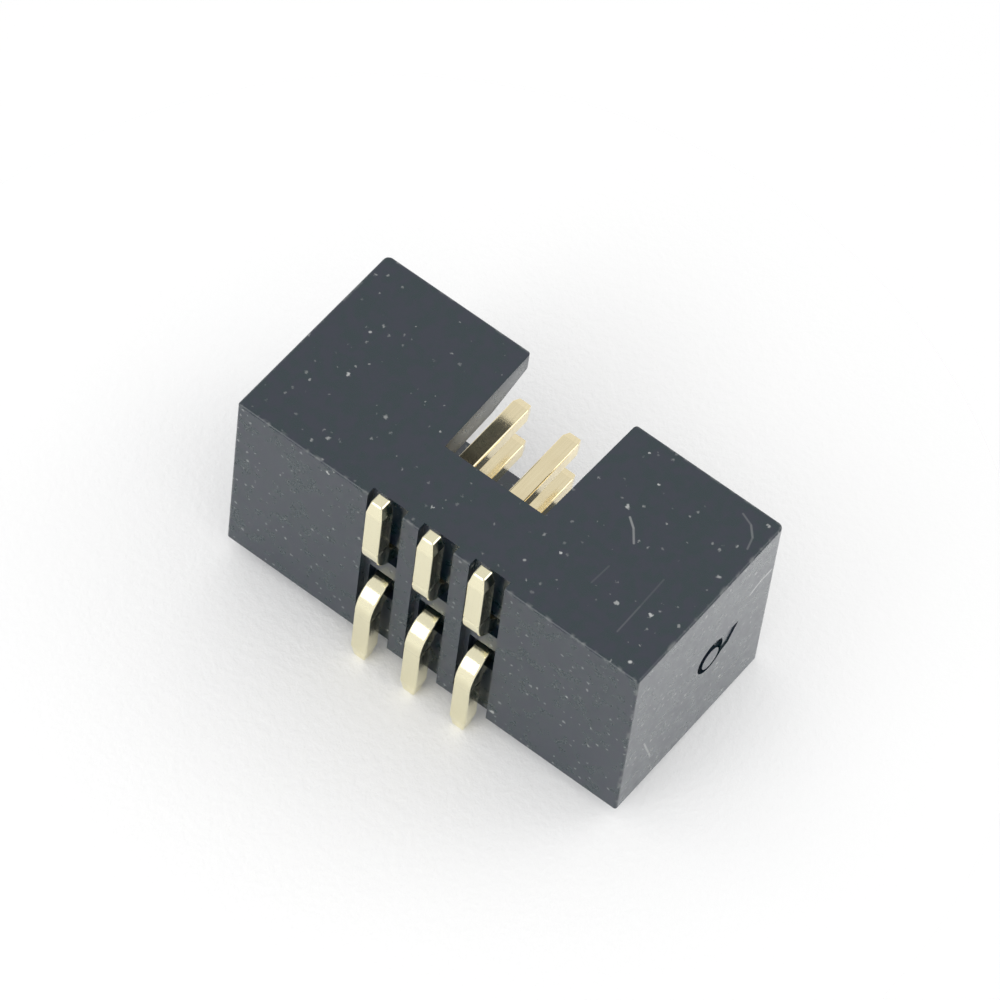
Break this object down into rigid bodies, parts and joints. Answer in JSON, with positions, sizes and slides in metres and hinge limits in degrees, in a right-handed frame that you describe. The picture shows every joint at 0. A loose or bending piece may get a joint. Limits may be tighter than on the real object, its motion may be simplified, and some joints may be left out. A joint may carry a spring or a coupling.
{
  "type": "idc box header",
  "caption": "Shrouded surface-mount pin header: open box with a polarising notch round two rows of square contacts that bend outwards into solder tails.",
  "frame": {"origin": "middle of the footprint on the board, level with the undersides of the solder tails", "axes": "+Z is the mating direction, away from the board; X runs along the rows of contacts; the polarising notch is in the -Y wall"},
  "size_m": [0.01, 0.0056, 0.0052],
  "materials": {
    "moulding": "fine matte, glass filled",
    "contact_plating": "pale gold flash plating, bright"
  },
  "bodies": {
    "root": {"housing": "moulding", "contact_1": "contact_plating", "contact_2": "contact_plating", "contact_3": "contact_plating", "contact_4": "contact_plating", "contact_5": "contact_plating", "contact_6": "contact_plating"}
  },
  "joints": []
}
